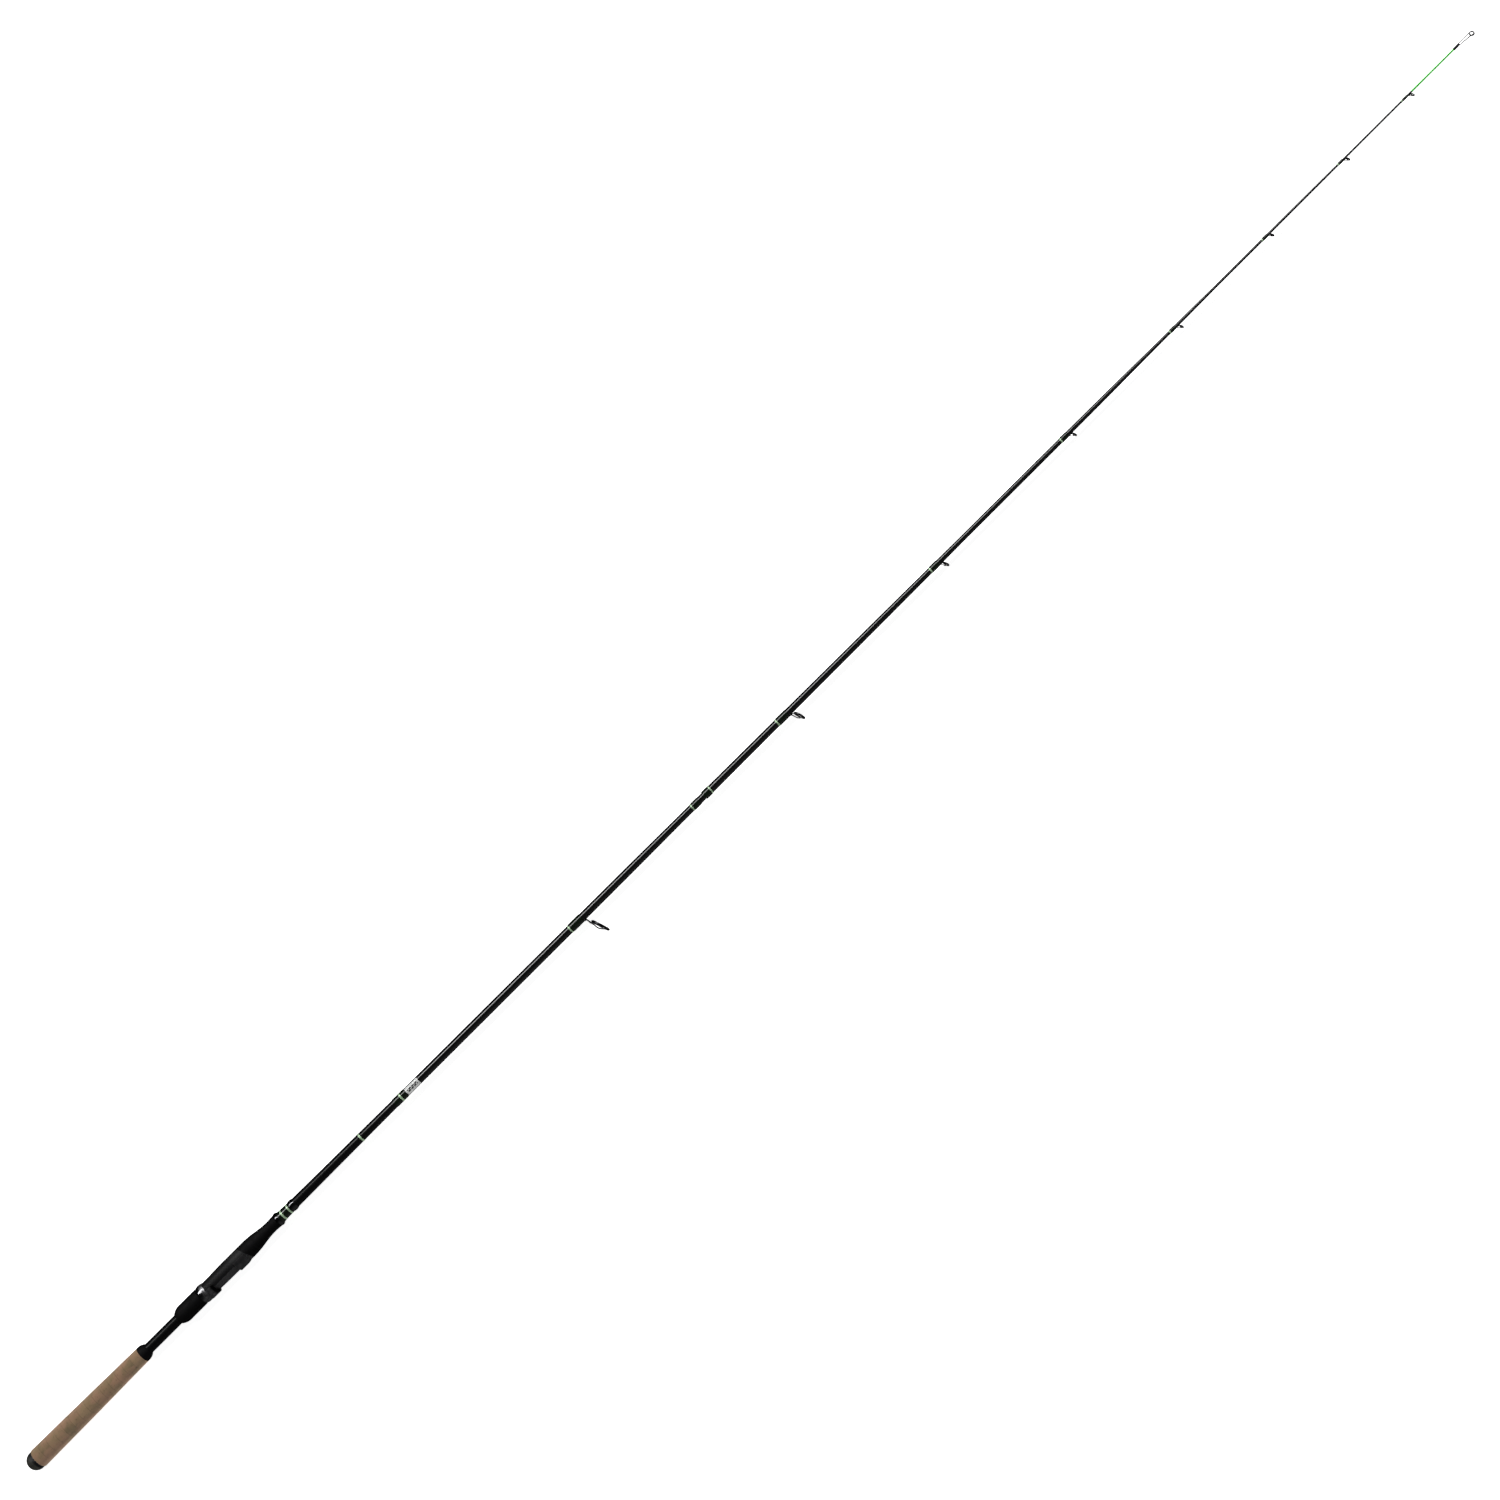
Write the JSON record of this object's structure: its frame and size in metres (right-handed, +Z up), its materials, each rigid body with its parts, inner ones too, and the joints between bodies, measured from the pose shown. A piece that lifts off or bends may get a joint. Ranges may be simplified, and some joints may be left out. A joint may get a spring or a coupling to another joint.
{
  "type": "spinning rod",
  "caption": "Two-piece spinning fishing rod with a tapered cork rear grip, a split reel seat with a locking hood, single-foot line guides and a bright green solid tip.",
  "frame": {"origin": "centre of the butt cap's flat end face", "axes": "+X along the rod towards the tip, -Y the side of the guides and the reel, +Z up with the rod lying on its side"},
  "size_m": [2.3994, 0.0489, 0.0252],
  "materials": {
    "carbon_blank": "clear-coated black carbon fibre",
    "green_tip": "bright fluorescent green lacquer on a solid tip",
    "cork": "natural cork with small dark pores",
    "black_rubber": "satin black rubber",
    "seat_graphite": "dark graphite moulding with a faint weave",
    "soft_black": "soft-touch black",
    "gunmetal": "satin gunmetal with a polished ring",
    "black_anodised": "polished black anodised metal",
    "dark_thread": "black thread with a green tint under clear epoxy",
    "pale_thread": "pale green metallic thread under clear epoxy",
    "label_white": "plain white label under clear coat",
    "guide_frame": "black-plated stainless steel wire",
    "guide_ceramic": "polished dark ceramic"
  },
  "bodies": {
    "butt_section": {"butt_blank": "carbon_blank", "butt_cap": "black_rubber", "rear_grip": "cork", "grip_collar": "black_rubber", "reel_seat_body": "seat_graphite", "foregrip": "soft_black", "fixed_hood": "gunmetal", "rear_winding_check": "black_anodised", "front_winding_check": "black_anodised", "handle_wrap": "dark_thread", "butt_trim_bands": "pale_thread", "label_wrap": "dark_thread", "label": "label_white", "butt_ferrule_wrap": "dark_thread", "guide_1_frame": "guide_frame", "guide_1_ring": "guide_ceramic", "guide_1_wrap": "dark_thread"},
    "moving_hood": {"moving_hood": "gunmetal"},
    "lock_nut": {"lock_nut": "soft_black"},
    "tip_section": {"tip_blank": "carbon_blank", "solid_tip": "green_tip", "tip_ferrule_wrap": "dark_thread", "tip_trim_bands": "pale_thread", "tip_top_frame": "guide_frame", "tip_top_ring": "guide_ceramic", "guide_2_frame": "guide_frame", "guide_2_ring": "guide_ceramic", "guide_2_wrap": "dark_thread", "guide_3_frame": "guide_frame", "guide_3_ring": "guide_ceramic", "guide_3_wrap": "dark_thread", "guide_4_frame": "guide_frame", "guide_4_ring": "guide_ceramic", "guide_4_wrap": "dark_thread", "guide_5_frame": "guide_frame", "guide_5_ring": "guide_ceramic", "guide_5_wrap": "dark_thread", "guide_6_frame": "guide_frame", "guide_6_ring": "guide_ceramic", "guide_6_wrap": "dark_thread", "guide_7_frame": "guide_frame", "guide_7_ring": "guide_ceramic", "guide_7_wrap": "dark_thread", "guide_8_frame": "guide_frame", "guide_8_ring": "guide_ceramic", "guide_8_wrap": "dark_thread"}
  },
  "joints": [
    {"name": "hood_slide", "type": "slide", "parent": "butt_section", "child": "moving_hood", "axis": [-1, 0, 0], "range_m": [0, 0.022]},
    {"name": "lock_nut_turn", "type": "hinge", "parent": "moving_hood", "child": "lock_nut", "pos_m": [0.265, 0, 0], "axis": [-1, 0, 0], "range_deg": [-20, 3188]},
    {"name": "ferrule_slide", "type": "slide", "parent": "butt_section", "child": "tip_section", "axis": [1, 0, 0], "range_m": [0, 0.06]}
  ],
  "couplings": [
    {"joint": "lock_nut_turn", "follows": "hood_slide", "rad_per_m": 2513.3}
  ]
}
